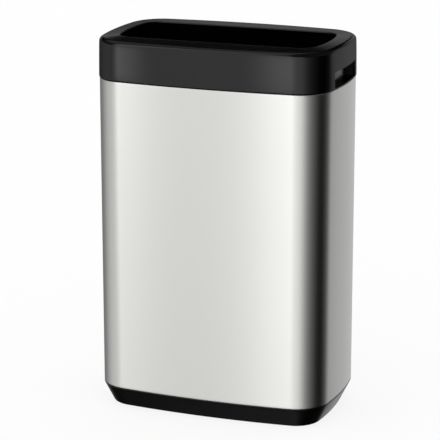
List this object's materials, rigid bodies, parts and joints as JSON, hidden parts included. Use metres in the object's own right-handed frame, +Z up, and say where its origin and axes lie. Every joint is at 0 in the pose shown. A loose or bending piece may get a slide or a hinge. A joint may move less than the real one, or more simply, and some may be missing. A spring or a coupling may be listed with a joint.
{
  "type": "waste bin",
  "caption": "Tall free-standing open-top waste bin: brushed steel sleeve on a moulded base, with a lift-off moulded collar, end hand-holds and a hinged wire bag frame inside.",
  "frame": {"origin": "middle of the footprint, on the floor under the feet", "axes": "+Z up, the broad front faces -Y, +X to the right seen from the front"},
  "size_m": [0.416, 0.252, 0.64],
  "materials": {
    "brushed_steel": "brushed stainless sheet, grain round the body",
    "plated_steel": "plain rolled strip",
    "zinc_screw": "zinc plated",
    "base_plastic": "fine moulded grain, black",
    "collar_plastic": "satin moulded, black",
    "cup_plastic": "matt moulded, black",
    "clip_plastic": "smooth moulded, dark grey",
    "foot_rubber": "soft moulded, black",
    "bright_wire": "drawn and bright plated"
  },
  "bodies": {
    "bin": {"steel_sleeve": "brushed_steel", "seam_strip": "plated_steel", "base_pan": "base_plastic", "foot_front_left": "foot_rubber", "foot_front_right": "foot_rubber", "foot_rear_left": "foot_rubber", "foot_rear_right": "foot_rubber", "base_screw_front_left": "zinc_screw", "base_screw_front_right": "zinc_screw", "base_screw_rear_left": "zinc_screw", "base_screw_rear_right": "zinc_screw", "base_screw_left": "zinc_screw", "base_screw_right": "zinc_screw"},
    "collar": {"collar": "collar_plastic", "hand_cup_left": "cup_plastic", "hand_cup_right": "cup_plastic", "frame_pivot_left": "clip_plastic", "frame_pivot_right": "clip_plastic", "frame_catch_left": "clip_plastic", "frame_catch_right": "clip_plastic", "clip_screw_front_left": "zinc_screw", "clip_screw_front_right": "zinc_screw", "clip_screw_rear_left": "zinc_screw", "clip_screw_rear_right": "zinc_screw"},
    "bag_frame": {"bag_frame": "bright_wire"}
  },
  "joints": [
    {"name": "collar_lift", "type": "slide", "parent": "bin", "child": "collar", "axis": [0, 0, 1], "range_m": [0, 0.3]},
    {"name": "frame_hinge", "type": "hinge", "parent": "collar", "child": "bag_frame", "pos_m": [0, 0.088, 0.565], "axis": [1, 0, 0], "range_deg": [0, 85]}
  ]
}
